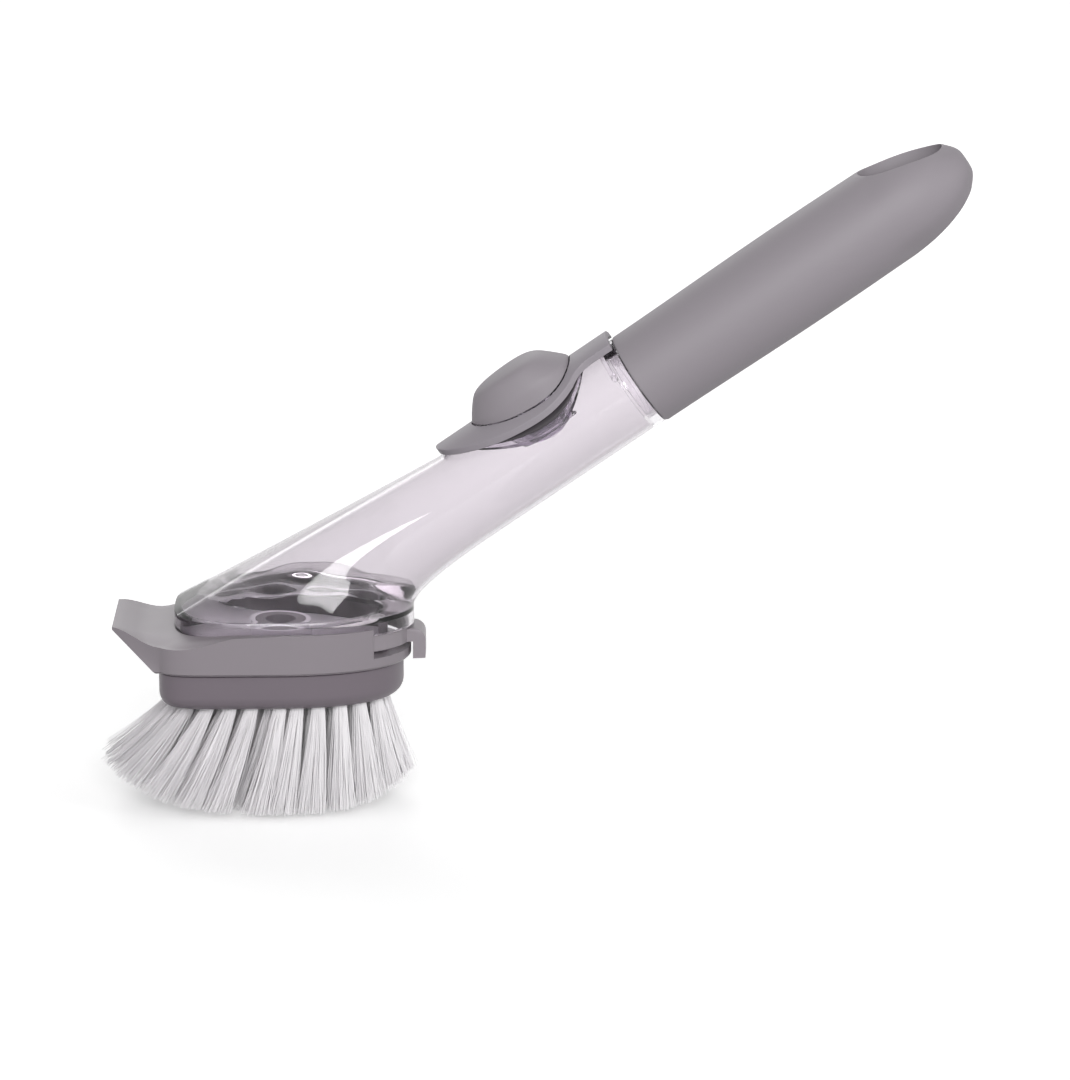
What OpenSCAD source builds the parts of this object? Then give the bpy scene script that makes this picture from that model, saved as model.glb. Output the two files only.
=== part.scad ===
// Dish wand with a clear soap handle, a thumb pump and a snap-in brush refill.
// X runs from the scraper nose to the grip, Z is up, and the origin is on the
// floor under the middle of the bristles. All lengths are millimetres.

/* [Head] */
// Width of the head frame at its middle
head_w = 53; // [46:0.5:60]
// Distance from the middle of the brush to the back of the head frame
head_back = 39.2; // [36:0.2:44]
// Distance from the middle of the brush to the front of the frame's ring
head_front = 37.3; // [34:0.1:42]
// How far the scraper edge stands ahead of the frame's ring
nose_reach = 12.5; // [8:0.5:18]
// Width of the scraper edge
nose_w = 31; // [22:1:36]
// Thickness of the scraper edge
nose_edge = 0.9; // [0.6:0.1:2]
// Radius of the hollow in the nose's upper side
nose_hollow_r = 42; // [30:1:80]
// Height of the head frame
frame_h = 12.4; // [11:0.2:16]
// Wall of the head frame
frame_wall = 2; // [1.6:0.1:2.6]
// Height of the frame's rim below the latch window
rim_h = 3.4; // [3:0.1:4.5]

/* [Release latch] */
// Height of the latch band
latch_h = 4.9; // [4:0.1:5.5]
// Thickness of the latch band
latch_t = 1.5; // [1.2:0.1:2]
// Travel of the latch towards the nose
latch_travel = 1.2; // [0.8:0.1:2]
// Distance from the middle of the brush to the window's front edge
window_x = 28.4; // [24:0.2:30]
// Width of the latch's thumb tab
tab_w = 13; // [8:0.5:18]
// How far the thumb tab stands out behind the band
tab_out = 4.4; // [3:0.1:6]
// Height of the thumb tab
tab_h = 9.2; // [7:0.1:10]

/* [Brush refill] */
// Distance from the floor to the underside of the brush base
bristle_len = 34; // [26:0.5:40]
// Height of the brush base
base_h = 11.4; // [9:0.2:14]
// Radius of the base's lower edge
base_round = 4.5; // [3:0.1:6]
// How far the base stands inside the frame's outline
base_inset = 2.3; // [1.5:0.1:4]
// Thickness of the bristle carrier plates
carrier_t = 2; // [1.5:0.1:3]
// Distance between neighbouring tufts
tuft_pitch = 7.3; // [6.5:0.1:9]
// Width of one strand
strand_w = 0.9; // [0.5:0.05:1]
// Width of a tuft at its root
tuft_w = 3.3; // [2.6:0.1:3.8]
// How far apart the strands are at the tips, as a multiple of their roots
tuft_spread = 1.7; // [1.2:0.05:2]
// Lengthwise spread of the tips over the roots
flare_x = 1.44; // [1:0.02:1.5]
// Sideways spread of the tips over the roots
flare_y = 1.3; // [1:0.02:1.4]
// How far the tips lean towards the nose
lean = 7.6; // [0:0.2:10]
// Rise of the trimmed tips at the front of the brush
trim_front = 14; // [4:0.5:18]
// Rise of the trimmed tips at the back of the brush
trim_back = 9.5; // [3:0.5:14]
// Rise of the trimmed tips at the sides of the brush
trim_side = 2.6; // [0:0.2:6]

/* [Reservoir] */
// Outer diameter of the clear handle tube
tube_d = 28.8; // [26:0.2:32]
// Tilt of the handle above the floor
handle_tilt = 34.7; // [28:0.5:42]
// Distance along the handle from the foot to the end of the tube
tube_len = 118.7; // [112:0.5:130]
// Wall of the clear plastic
clear_wall = 1.8; // [1.4:0.1:2.4]
// Height of the foot's clear skirt above the frame's ledge
skirt_h = 5; // [4:0.2:8]
// Thickness of the clear skirt
skirt_t = 1.5; // [1.2:0.1:2]
// Distance from the middle of the brush to the front of the foot
foot_front = 31.8; // [29:0.2:33]
// Distance from the middle of the brush to the back of the foot
foot_back = 40.2; // [38:0.2:42]
// Outer diameter of the threaded neck
neck_d = 22.8; // [20:0.2:24]
// Length of the threaded neck
neck_len = 12; // [9:0.5:16]

/* [Outlet] */
// Bore of the soap outlet
outlet_d = 7; // [5:0.5:9]
// Diameter of the outlet valve's rim
valve_d = 15; // [13:0.5:18]
// Thickness of the foot plate
foot_plate_t = 2; // [1.6:0.1:2.6]

/* [Thumb pump] */
// Distance from the front tip of the cover plate to the end of the tube
plate_reach = 58.7; // [56:0.1:60]
// Thickness of the cover plate
plate_t = 2.3; // [1.6:0.1:3]
// Half of the width of the cover plate
plate_half = 13.6; // [12.9:0.1:14]
// Half of the width of the cover plate's tail
tail_half = 8.4; // [6:0.1:10]
// Gap between the tube and the cover plate, in which the seat's flange lies
plate_gap = 0.9; // [0.8:0.1:1.4]
// Distance from the middle of the thumb button to the end of the tube
button_reach = 27.9; // [26:0.1:29]
// Length of the thumb button at its foot
button_len = 35; // [30:0.5:37]
// Half of the width of the thumb button at its foot
button_half = 11.4; // [9:0.1:11.6]
// Height of the thumb button above the cover plate
button_h = 7.4; // [5:0.1:9]
// Travel of the thumb button
button_travel = 2.6; // [1.5:0.1:2.8]
// Wall of the thumb button
button_wall = 1.6; // [1.2:0.1:2.2]
// Diameter of the button's stem
stem_d = 7; // [5:0.5:9]
// Depth of the pump's well below the tube's upper side
well_depth = 11.6; // [9:0.2:12]
// Wall of the pump's well
well_wall = 1.2; // [1:0.1:1.6]

/* [Grip] */
// Diameter of the grip where it meets the collar
grip_d = 29.4; // [27:0.2:33]
// Extra diameter at the grip's belly
grip_belly = 1; // [0:0.1:3]
// Length of the grip
grip_len = 117; // [90:1:130]
// Length of the grip's rounded end
grip_end = 25; // [18:0.5:34]
// Thickness of the grip's soft sleeve
sleeve_t = 1.5; // [1.2:0.1:2]
// Width of the collar band below the grip
band_w = 2.9; // [2:0.1:4]
// Length of the hanging slot
slot_len = 25.6; // [20:0.2:32]
// Width of the hanging slot
slot_w = 17; // [14:0.5:20]
// Wall between the hanging slot and the grip's end
slot_wall = 3.6; // [3:0.1:6]

/* [Hidden] */

// Clearance between pieces that move on each other
gap = 0.3;
// Clearance of a sliding fit
fit = 0.06;
// Overlap that joins two shapes of one piece
weld = 0.4;
// Extra reach of a cut past the surface it goes through
past = 1;
// Roundness of true curves
round_fn = 96;
// Sides of the oval outlines
oval_sides = 48;
// Fullness of the pump's ovals, where 2 is an ellipse
oval_power = 2.35;
// How much wider the pump's ovals are at the back than at the front
oval_taper = 0.13;
// Form of an outline: fullness of its front, fullness of its back, and taper
pump_form = [oval_power, oval_power, oval_taper];
foot_form = [3.2, 2.2, -0.04];
head_form = [7, 2.2, -0.04];

// Heights above the floor
base_z = bristle_len;
base_top_z = base_z + base_h;
frame_z = base_top_z + gap;
frame_top_z = frame_z + frame_h;
rim_top_z = frame_z + rim_h;
ledge_z = frame_top_z - frame_wall;
foot_z = ledge_z + skirt_h;
latch_z = ledge_z - gap - latch_h;
plate_z = rim_top_z + gap;

// Half widths, from the frame's outer face inwards
head_half = head_w / 2;
channel_half = head_half - frame_wall;
foot_half = channel_half - 2 * fit;
arm_half = channel_half - gap;
chamber_half = arm_half - latch_t - gap;

// Room behind the foot's inner chamber for the refill's guide posts
post_room = 5;
// Ends of the foot's inner chamber
chamber_back = head_back - latch_t - latch_travel - post_room - 2 * gap;
chamber_front = foot_front - clear_wall;

tube_r = tube_d / 2;
bore_r = tube_r - clear_wall;
neck_r = neck_d / 2;
grip_at = tube_len + band_w + gap;
// The handle's axis crosses the top of the foot here
elbow_x = 7.5;
plate_start = tube_len - plate_reach;
button_at = tube_len - button_reach;
// The foot has blended into the tube a little ahead of the cover plate
blend_len = plate_start - 2;

plate_r = tube_r + plate_gap;
plate_outer_r = plate_r + plate_t;
plate_end = grip_at - 2 * gap;
button_front = button_at - button_len / 2;
button_back = button_at + button_len / 2;

// A point of an oval: front and back are its ends along X, half_w its half width
function oval_power_at(form, a) = cos(a) < 0 ? form[0] : form[1];
function oval_u(form, a) = sign(cos(a)) * pow(abs(cos(a)), 2 / oval_power_at(form, a));
function oval_v(form, a) = sign(sin(a)) * pow(abs(sin(a)), 2 / oval_power_at(form, a));
function oval_point(front, back, half_w, a, form) =
    [(front + back) / 2 + (back - front) / 2 * oval_u(form, a),
     half_w * oval_v(form, a) * (1 + form[2] * oval_u(form, a))];
function oval_points(front, back, half_w, form) =
    [for (i = [0 : oval_sides - 1]) oval_point(front, back, half_w, 360 * i / oval_sides, form)];

module form_slab(form, front, back, half_w, z, h) {
    translate([0, 0, z])
        linear_extrude(h)
            polygon(oval_points(front, back, half_w, form));
}

module oval_slab(front, back, half_w, z, h) {
    form_slab(pump_form, front, back, half_w, z, h);
}

module foot_slab(front, back, half_w, z, h) {
    form_slab(foot_form, front, back, half_w, z, h);
}

module head_slab(front, back, half_w, z, h) {
    form_slab(head_form, front, back, half_w, z, h);
}

// The handle's own frame: X along the handle's axis, Z square to it and upwards
module on_handle() {
    translate([elbow_x, 0, foot_z])
        rotate([0, -handle_tilt, 0])
            children();
}

// A round bar along the handle's axis
module bar(from, to, r) {
    translate([from, 0, 0])
        rotate([0, 90, 0])
            cylinder(r = r, h = to - from, $fn = round_fn);
}

// A point of the handle's frame, brought to the part's frame, in X and Z
function handle_xz(s, n) =
    [elbow_x + s * cos(handle_tilt) - n * sin(handle_tilt),
     foot_z + s * sin(handle_tilt) + n * cos(handle_tilt)];

// A point that a straight blend reaches at share t of the way from a to b
function mix(a, b, t) = a + (b - a) * t;
function curve(a, b, c, t) = mix(mix(a, b, t), mix(b, c, t), t);
function unit(v) = v / norm(v);
function cross_size(a, b) = abs(a[0] * b[1] - a[1] * b[0]);

// The reservoir's blend runs from the foot's oval to the tube's circle. Its rings are
// oval, and each lies in a plane that turns from level to square with the handle.
blend_steps = 9;
// The blend's last ring ends inside the tube's wall
blend_tuck = 0.15;
foot_front_xz = [-foot_front, foot_z];
foot_back_xz = [foot_back, foot_z];
tube_top_xz = handle_xz(blend_len, tube_r - blend_tuck);
tube_bottom_xz = handle_xz(blend_len, blend_tuck - tube_r);
// Where the foot's upright back would meet the tube's underside
back_rise = ((foot_back - elbow_x) * sin(handle_tilt) - tube_r) / cos(handle_tilt);
heel_xz = [foot_back, foot_z + back_rise];

function blend_top(t) = mix(foot_front_xz, tube_top_xz, t);
function blend_bottom(t) = curve(foot_back_xz, heel_xz, tube_bottom_xz, t);
function blend_half(t) = tube_r - blend_tuck + (foot_half - tube_r + blend_tuck) * pow(1 - t, 2);
function bottom_path(t) = unit(mix(heel_xz - foot_back_xz, tube_bottom_xz - heel_xz, t));
function top_path() = unit(tube_top_xz - foot_front_xz);

// A ring from its top point to its bottom point, both in X and Z
function ring(top, bottom, half_w, t) =
    let (form = mix(foot_form, [2, 2, 0], t))
    [for (i = [0 : oval_sides - 1])
        let (a = 360 * i / oval_sides,
             u = oval_u(form, a),
             mid = (top + bottom) / 2 + (bottom - top) / 2 * u)
        [mid[0], half_w * oval_v(form, a) * (1 + form[2] * u), mid[1]]];

function outer_ring(t) = ring(blend_top(t), blend_bottom(t), blend_half(t), t);
function inner_ring(t) =
    let (across = unit(blend_bottom(t) - blend_top(t)),
         wall = clear_wall - blend_tuck * t * 2,
         top_in = wall / cross_size(across, top_path()),
         bottom_in = wall / cross_size(across, bottom_path(t)))
    ring(blend_top(t) + across * top_in, blend_bottom(t) - across * bottom_in,
         blend_half(t) - wall, t);

// Faces that join ring a to ring b, where each ring has n points
function band_faces(a, b, n) = [for (i = [0 : n - 1]) let (j = (i + 1) % n)
    each [[a * n + i, b * n + i, b * n + j], [a * n + i, b * n + j, a * n + j]]];

// A shell whose outer rings go up and whose inner rings come back down
module ring_shell(rings) {
    n = len(rings[0]);
    count = len(rings);
    polyhedron(points = [for (r = rings) each r],
               faces = [for (k = [0 : count - 1]) each band_faces(k, (k + 1) % count, n)]);
}

module blend_shell() {
    outside = [for (k = [0 : blend_steps]) outer_ring(k / blend_steps)];
    inside = [for (k = [blend_steps : -1 : 0]) inner_ring(k / blend_steps)];
    ring_shell(concat(outside, inside));
}

// The foot below the blend: a short skirt outside and the soap chamber's wall inside
module foot_ring() {
    difference() {
        union() {
            difference() {
                foot_slab(-foot_front, foot_back, foot_half, ledge_z, skirt_h);
                foot_slab(skirt_t - foot_front, foot_back - skirt_t, foot_half - skirt_t,
                          ledge_z - past, skirt_h - skirt_t + past);
            }
            foot_slab(-chamber_front, chamber_back, chamber_half, plate_z, foot_z - plate_z);
        }
        foot_slab(clear_wall - chamber_front, chamber_back - clear_wall, chamber_half - clear_wall,
                  plate_z - past, foot_z - plate_z + 2 * past);
    }
}

// The hole in the tube's upper side that takes the pump's well
well_half = 9.4;
well_front = button_front + 1.6;
well_back = button_back - 1.6;
module well_hole() {
    oval_slab(well_front - gap / 2, well_back + gap / 2, well_half + gap / 2, 0, 2 * tube_r);
}

neck_end = tube_len + neck_len;
neck_bore_r = neck_r - clear_wall;
strap_w = 1.8;
strap_front = tube_len - strap_w - gap;

module clear_tube() {
    difference() {
        union() {
            bar(blend_len - weld, tube_len, tube_r);
            bar(tube_len - weld, neck_end, neck_r);
        }
        bar(blend_len - past, tube_len - clear_wall, bore_r);
        bar(tube_len - clear_wall - weld, neck_end + past, neck_bore_r);
        well_hole();
    }
}

module reservoir() {
    color([0.85, 0.83, 0.86, 0.45]) {
        blend_shell();
        foot_ring();
        on_handle() clear_tube();
    }
}

valve_r = valve_d / 2;
valve_t = 1.4;
cup_wall = 1.3;
cup_h = 4.2;
valve_z = plate_z + foot_plate_t;

// Floor of the soap chamber, with the cup that holds the outlet valve
module foot_plate() {
    inset = clear_wall + fit;
    color([0.8, 0.78, 0.81])
        difference() {
            union() {
                foot_slab(inset - chamber_front, chamber_back - inset, chamber_half - inset,
                          plate_z, foot_plate_t);
                translate([0, 0, plate_z])
                    cylinder(r = valve_r + fit + cup_wall, h = foot_plate_t + cup_h, $fn = round_fn);
            }
            translate([0, 0, valve_z])
                cylinder(r = valve_r + fit, h = cup_h + past, $fn = round_fn);
            translate([0, 0, plate_z - past])
                cylinder(d = outlet_d, h = foot_plate_t + 2 * past, $fn = round_fn);
        }
}

// Soft valve: a thin cross-slit dome inside a thicker rim
module outlet_valve() {
    slit_w = 0.3;
    slit_len = 4.4;
    dome_t = 0.9;
    color([0.93, 0.92, 0.94])
        difference() {
            translate([0, 0, valve_z])
                rotate_extrude($fn = round_fn)
                    polygon([[0, 0], [valve_r, 0], [valve_r, valve_t], [outlet_d / 2, valve_t], [0, dome_t]]);
            for (turn = [0, 90])
                rotate([0, 0, turn])
                    translate([-slit_len / 2, -slit_w / 2, valve_z - past])
                        cube([slit_len, slit_w, valve_t + 2 * past]);
        }
}

// Ring that presses the valve's rim down inside the cup
module valve_retainer() {
    color([0.6, 0.57, 0.6])
        translate([0, 0, valve_z + valve_t])
            difference() {
                cylinder(r = valve_r, h = cup_h - valve_t, $fn = round_fn);
                translate([0, 0, -past])
                    cylinder(r = outlet_d / 2 + 1, h = cup_h + 2 * past, $fn = round_fn);
            }
}

nose_x = head_front + nose_reach;
channel_len = 10;
channel_front = window_x - channel_len;
collar_inset = 2.4;
collar_half = chamber_half - collar_inset;
collar_front = chamber_front - collar_inset;
collar_back = head_back - frame_wall - 3 * gap;

// The nose's upper side is hollow between the scraper edge and the foot, with a
// narrow flat land left at each end
nose_land = 0.4;
foot_land = 0.8;
module nose_hollow() {
    from = nose_x - nose_land;
    to = foot_front + foot_land;
    reach = from - to;
    rise = sqrt(nose_hollow_r * nose_hollow_r - reach * reach / 4);
    translate([-(from + to) / 2, head_w, frame_top_z + rise])
        rotate([90, 0, 0])
            cylinder(r = nose_hollow_r, h = 2 * head_w, $fn = round_fn);
}

module frame_body() {
    draft = 1;
    lip_h = 0.8;
    hull() {
        head_slab(-head_front, head_back, head_half, frame_z + lip_h, frame_h - lip_h);
        head_slab(draft - head_front, head_back - draft / 2, head_half - draft, frame_z, lip_h);
        translate([-nose_x, -nose_w / 2, frame_top_z - nose_edge])
            cube([nose_edge, nose_w, nose_edge]);
    }
}

module head_frame() {
    color([0.56, 0.53, 0.56])
        difference() {
            frame_body();
            nose_hollow();
            foot_slab(-foot_front - fit, foot_back + fit, foot_half + fit, ledge_z, frame_wall + past);
            foot_slab(-chamber_front - fit, chamber_back + fit, chamber_half + fit,
                      rim_top_z, frame_h);
            foot_slab(-collar_front - gap, collar_back + gap, collar_half + gap,
                      frame_z - past, frame_h);
            intersection() {
                head_slab(-head_front, head_back, channel_half, rim_top_z, ledge_z - rim_top_z + past);
                translate([channel_front, -head_w, frame_z])
                    cube([head_w, 2 * head_w, frame_h]);
            }
            translate([window_x, -head_w, rim_top_z])
                cube([head_w, 2 * head_w, frame_h]);
        }
}

// A band of the handle's outer skin between two radii, cut to the outline that
// is given as a child, seen square to the handle's upper side
module saddle(from, to, inner_r, outer_r) {
    intersection() {
        difference() {
            bar(from, to, outer_r);
            bar(from - past, to + past, inner_r);
        }
        linear_extrude(2 * tube_r)
            children();
    }
}

module oval(front, back, half_w) {
    polygon(oval_points(front, back, half_w, pump_form));
}

flange_t = 0.5;
flange_r = tube_r + flange_t;
flange_half = plate_half + 0.3;
plate_oval_back = button_back + 4.6;
flange_front = plate_start + 6;
flange_back = plate_oval_back - 1.5;
well_low_n = tube_r - well_depth;
well_low_half = 7.6;
well_slope = 7;
well_floor_n = well_low_n + well_wall;

module well_form(inset) {
    hull() {
        oval_slab(well_front + inset, well_back - inset, well_half - inset, tube_r, past);
        oval_slab(well_front + well_slope + inset, well_back - well_slope - inset,
                  well_low_half - inset, well_low_n + inset, past);
    }
}

guide_wall = 0.9;
guide_r = stem_d / 2 + fit + guide_wall;
guide_h = 6.4;
air_at = button_at + 7.6;
air_r = 2.2;
air_hole_d = 1.6;

// Boat-shaped well of the pump, hung from a flange that lies on the tube
module pump_seat() {
    color([0.72, 0.69, 0.73])
        on_handle()
            difference() {
                union() {
                    saddle(flange_front - past, flange_back + past, tube_r, flange_r)
                        oval(flange_front, flange_back, flange_half);
                    intersection() {
                        well_form(0);
                        bar(button_front, button_back, flange_r);
                    }
                }
                difference() {
                    well_form(well_wall);
                    translate([button_at, 0, 0])
                        cylinder(r = guide_r, h = well_floor_n + guide_h, $fn = round_fn);
                }
                translate([button_at, 0, well_floor_n])
                    cylinder(r = stem_d / 2 + fit, h = tube_r, $fn = round_fn);
                translate([air_at, 0, 0])
                    cylinder(d = air_hole_d, h = tube_r, $fn = round_fn);
            }
}

gasket_inset = 0.5;
gasket_w = 1;

// Gasket between the seat's flange and the cover plate
module seat_gasket() {
    front = flange_front + gasket_inset;
    back = flange_back - gasket_inset;
    half_w = plate_half - gasket_inset;
    color([0.25, 0.23, 0.25])
        on_handle()
            saddle(front - past, back + past, flange_r, plate_r)
                difference() {
                    oval(front, back, half_w);
                    oval(front + gasket_w, back - gasket_w, half_w - gasket_w);
                }
}

// Cover plate that frames the thumb button and runs back to the collar
module cover_plate() {
    color([0.6, 0.57, 0.6])
        on_handle()
            saddle(plate_start - past, plate_end, plate_r, plate_outer_r)
                difference() {
                    union() {
                        oval(plate_start, plate_oval_back, plate_half);
                        translate([button_at, -tail_half])
                            square([plate_end - button_at, 2 * tail_half]);
                    }
                    oval(button_front - gap, button_back + gap, button_half + gap);
                }
}

strap_half = 12.8;
pin_d = 1.8;
pin_out = 0.5;

// Clear strap that holds the plate's tail, with a round pin at each end
module cover_strap() {
    pin_n = sqrt(tube_r * tube_r - strap_half * strap_half);
    color([0.9, 0.88, 0.9])
        on_handle() {
            saddle(strap_front, strap_front + strap_w, tube_r, plate_r)
                translate([0, -strap_half])
                    square([tube_len, 2 * strap_half]);
            for (side = [-1, 1])
                difference() {
                    translate([strap_front + strap_w / 2, 0, 0])
                        rotate([-side * atan(strap_half / pin_n), 0, 0])
                            cylinder(d = pin_d, h = plate_r + pin_out, $fn = round_fn);
                    bar(0, tube_len, tube_r);
                }
        }
}

bellows_r = well_low_half - well_wall - gap;
bellows_low_r = guide_r + gap;
bellows_skin = 0.6;
bellows_folds = 4;
disc_n = well_floor_n + guide_h + button_travel + 2 * gap;
disc_t = 1.2;
disc_rim = 0.4;

// Ribbed bellows between the well's floor and the stem's disc
module pump_bellows() {
    top = disc_n - well_floor_n - 2 * gap;
    pitch = top / bellows_folds;
    color([0.9, 0.89, 0.91])
        on_handle()
            translate([button_at, 0, well_floor_n + gap])
                rotate_extrude($fn = round_fn)
                    polygon([
                        for (k = [0 : bellows_folds]) [bellows_low_r, k * pitch],
                        for (k = [bellows_folds : -1 : 1])
                            each [[bellows_low_r + bellows_skin, k * pitch], [bellows_r, (k - 0.5) * pitch]],
                        [bellows_low_r + bellows_skin, 0]
                    ]);
}

// Umbrella valve that lets air from the well into the soap chamber
module air_valve() {
    disc = 0.6;
    color([0.93, 0.92, 0.94])
        on_handle()
            translate([air_at, 0, 0]) {
                translate([0, 0, well_low_n - disc])
                    cylinder(r = air_r, h = disc, $fn = round_fn);
                translate([0, 0, well_low_n])
                    cylinder(d = air_hole_d - fit, h = well_wall + disc, $fn = round_fn);
            }
}

// Clear band that closes the joint between the tube and the grip
module collar_band() {
    color([0.92, 0.9, 0.93])
        on_handle()
            difference() {
                bar(tube_len, tube_len + band_w, tube_r + fit);
                bar(tube_len - past, tube_len + band_w + past, neck_r + fit);
            }
}

button_top_n = plate_outer_r + button_h;
// Height of the whole button, with the skirt that hides inside the cover plate
button_full_h = button_h + 5.6;
button_foot_n = button_top_n - button_full_h;
// Insets and shares of the half width of the button's waist, shoulder and crown
shoulder = 4.6;
shoulder_drop = 2.6;
crown = 9.6;
waist_share = 0.8;
shoulder_share = 0.58;
crown_share = 0.4;

// The button's form: an oval foot, a leaning front and back, and a crowned top
module button_form(inset) {
    hull() {
        oval_slab(button_front + inset, button_back - inset, button_half - inset, button_foot_n, weld);
        oval_slab(button_front + gap + inset, button_back - gap - inset, button_half * waist_share - inset,
                  plate_outer_r, weld);
        oval_slab(button_front + shoulder + inset, button_back - shoulder - inset,
                  button_half * shoulder_share - inset, button_top_n - shoulder_drop - inset, weld);
        oval_slab(button_front + crown + inset, button_back - crown - inset,
                  button_half * crown_share - inset, button_top_n - weld - inset, weld);
    }
}

module thumb_button() {
    color([0.6, 0.57, 0.6])
        on_handle()
            difference() {
                button_form(0);
                difference() {
                    button_form(button_wall);
                    translate([button_at, 0, 0])
                        cylinder(r = stem_d / 2 + button_wall, h = 2 * button_top_n, $fn = round_fn);
                }
                bar(0, grip_at, plate_outer_r + gap / 2);
                translate([button_at, 0, 0])
                    cylinder(d = stem_d, h = button_top_n - 2 * button_wall, $fn = round_fn);
            }
}

// Stem that guides the button and presses the bellows
module button_stem() {
    color([0.8, 0.78, 0.8])
        on_handle()
            translate([button_at, 0, 0]) {
                translate([0, 0, well_floor_n + button_travel + gap])
                    cylinder(d = stem_d, h = button_top_n - 2 * button_wall
                             - well_floor_n - button_travel - gap, $fn = round_fn);
                translate([0, 0, disc_n])
                    cylinder(r = bellows_r + disc_rim, h = disc_t, $fn = round_fn);
            }
}

arm_front = channel_front + latch_travel + 2 * gap;
tab_drop = 1.3;
tab_z = ledge_z - tab_drop - tab_h;

// Sliding band round the frame's back, with the thumb tab outside
module release_latch() {
    tab_round = 3.6;
    color([0.58, 0.55, 0.58])
        intersection() {
            difference() {
                union() {
                    head_slab(-head_front, head_back, arm_half, latch_z, latch_h);
                    hull() {
                        translate([head_back - latch_t, -tab_w / 2, tab_z])
                            cube([weld, tab_w, tab_h]);
                        translate([head_back + tab_out - weld, 1 - tab_w / 2, tab_z])
                            cube([weld, tab_w - 2, tab_h - tab_round]);
                        translate([head_back + tab_out - tab_round, 1 - tab_w / 2, tab_z + tab_h - tab_round])
                            rotate([-90, 0, 0])
                                cylinder(r = tab_round, h = tab_w - 2, $fn = 32);
                    }
                }
                head_slab(-head_front, head_back - latch_t, arm_half - latch_t,
                          latch_z - past, latch_h + tab_h);
                difference() {
                    head_slab(-head_front, head_back + gap + latch_travel, head_half, frame_z - past,
                              latch_z - frame_z + past);
                    translate([0, -head_w, latch_z])
                        cube([head_w, 2 * head_w, latch_h]);
                }
            }
            translate([arm_front, -head_w, 0])
                cube([head_w, 2 * head_w, foot_z]);
        }
}

base_half = head_half - base_inset;
base_front = head_front - base_inset / 2;
base_back = head_back - base_inset;
carrier_half = base_half - base_round;
carrier_front = base_front - base_round;
carrier_back = base_back - base_round;
soap_hole_r = valve_r + 2;

// Brush base with a rounded lower edge and a bed for the bristle carriers
module brush_base() {
    steps = 4;
    color([0.45, 0.42, 0.45])
        difference() {
            hull() {
                head_slab(-base_front, base_back, base_half, base_z + base_round, base_h - base_round);
                for (k = [0 : steps - 1])
                    let (a = 90 * k / steps, inset = base_round * (1 - sin(a)))
                        head_slab(inset - base_front, base_back - inset, base_half - inset,
                                  base_z + base_round * (1 - cos(a)), weld);
            }
            foot_slab(-carrier_front - fit, carrier_back + fit, carrier_half + fit,
                      base_z - past, carrier_t + past);
            translate([0, 0, base_z])
                cylinder(d = outlet_d, h = base_h + past, $fn = round_fn);
            translate([0, 0, base_top_z - seal_bed])
                cylinder(r = seal_r + fit, h = seal_bed + past, $fn = round_fn);
        }
}

seal_r = outlet_d / 2 + 2.4;
seal_bed = 1.4;
collar_top_z = rim_top_z - fit;
post_x = window_x + 1;
post_l = 2.6;
post_y = 8.2;
post_w = 2.2;

// Collar that fits inside the frame, with two guide posts behind the foot
module refill_collar() {
    color([0.4, 0.37, 0.4])
        difference() {
            union() {
                foot_slab(-collar_front, collar_back, collar_half, base_top_z, collar_top_z - base_top_z);
                for (side = [-1, 1])
                    translate([post_x, side > 0 ? post_y : -post_y - post_w, base_top_z])
                        cube([post_l, post_w, foot_z - skirt_t - gap - base_top_z]);
            }
            translate([0, 0, base_top_z - past])
                cylinder(r = seal_r + fit, h = frame_h, $fn = round_fn);
        }
}

// Soft ring that seals the outlet against the foot plate
module outlet_seal() {
    color([0.93, 0.92, 0.94])
        translate([0, 0, base_top_z - seal_bed])
            difference() {
                cylinder(r = seal_r, h = plate_z - gap - base_top_z + seal_bed, $fn = round_fn);
                translate([0, 0, -past])
                    cylinder(d = outlet_d, h = frame_h, $fn = round_fn);
            }
}

// Bristles
tuft_edge = 2.4;
tuft_rings = 3;
strands_across = 3;
cut_flat = 0.5;

// Trimmed height of the tips at a place over the floor
function trim(x, y) =
    let (along = x < 0 ? trim_front * pow(-x / tip_front, 3) : trim_back * pow(x / tip_back, 3),
         aside = trim_side * pow(y / (carrier_half * flare_y), 2))
    max(0, along + aside - cut_flat);
function tip_x(x) = x * flare_x - lean;
function tip_y(y) = y * flare_y;
tip_front = carrier_front * flare_x + lean;
tip_back = carrier_back * flare_x - lean;

// Length of an oval over that of the ellipse with the same axes
oval_length = 1.04;

// Tufts stand on ovals inside the carrier's outline, about a pitch apart
function ring_inset(k) = tuft_edge + k * tuft_pitch;
function ring_length(k) =
    let (a = (carrier_front + carrier_back) / 2 - ring_inset(k), b = carrier_half - ring_inset(k))
    PI * (3 * (a + b) - sqrt((3 * a + b) * (a + 3 * b))) * oval_length;
function ring_count(k) = round(ring_length(k) / tuft_pitch);
function tuft_ring(k) =
    [for (i = [0 : ring_count(k) - 1])
        oval_point(ring_inset(k) - carrier_front, carrier_back - ring_inset(k),
                   carrier_half - ring_inset(k), 360 * (i + 0.5 * (k % 2)) / ring_count(k),
                   foot_form)];
tufts = [for (k = [0 : tuft_rings - 1]) each tuft_ring(k)];

// Strands stand in a square grid within each tuft
strand_step = (tuft_w - strand_w) / (strands_across - 1);
function strand_offsets() =
    [for (i = [0 : strands_across - 1], j = [0 : strands_across - 1])
        [(i - (strands_across - 1) / 2) * strand_step, (j - (strands_across - 1) / 2) * strand_step]];

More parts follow.
